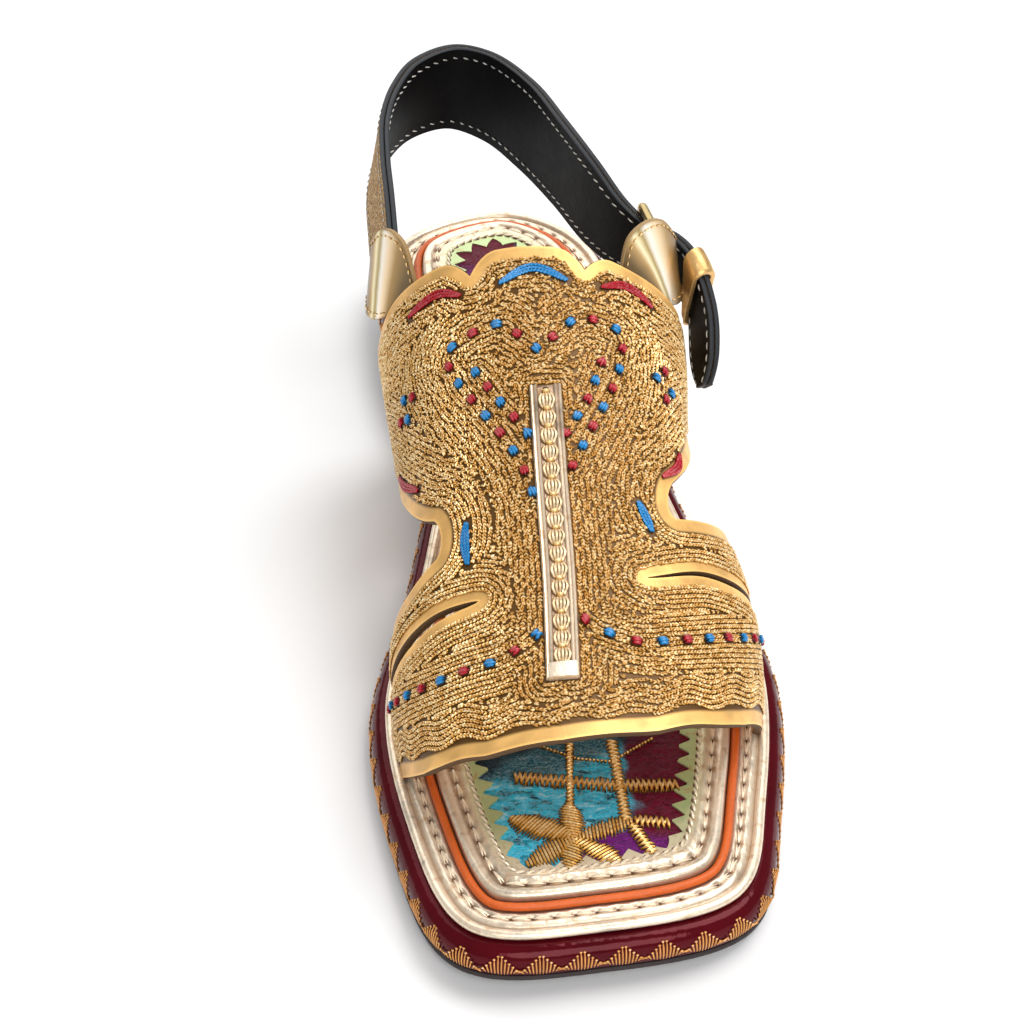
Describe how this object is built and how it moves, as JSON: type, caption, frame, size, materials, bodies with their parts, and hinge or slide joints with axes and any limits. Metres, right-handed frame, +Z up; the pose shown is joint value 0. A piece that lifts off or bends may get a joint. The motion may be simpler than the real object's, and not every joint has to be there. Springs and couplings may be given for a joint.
{
  "type": "leather sandal",
  "caption": "Flat open-toed leather sandal for the left foot, with an embroidered wide upper, a wrapped padded sole and a buckled heel strap.",
  "frame": {"origin": "on the floor under the flat of the forefoot, on the sole's middle line", "axes": "+Z up, +Y from the toe to the heel, +X to the outer side of the left foot"},
  "size_m": [0.1025, 0.2857, 0.0936],
  "materials": {
    "outsole_black": "dark matte sole sheet",
    "maroon_leather": "glossy patent, stitched with gold fans",
    "gold_leather": "pale metallic foil, padded and stitched",
    "orange_cord": "smooth piping cord",
    "satin_cloth": "printed satin with gold embroidery",
    "embroidered_leather": "tan leather covered with gold chain stitch",
    "black_leather": "smooth black lining, glittering gold face",
    "buckle_metal": "polished pale brass"
  },
  "bodies": {
    "root": {"outsole": "outsole_black", "midsole": "maroon_leather", "welt": "gold_leather", "piping": "orange_cord", "footbed": "gold_leather", "insole_cloth": "satin_cloth", "upper": "embroidered_leather", "placket": "gold_leather", "tab_medial": "gold_leather", "tab_lateral": "gold_leather", "heel_strap": "black_leather", "buckle_frame": "buckle_metal", "buckle_prong": "buckle_metal", "keeper": "gold_leather"}
  },
  "joints": []
}
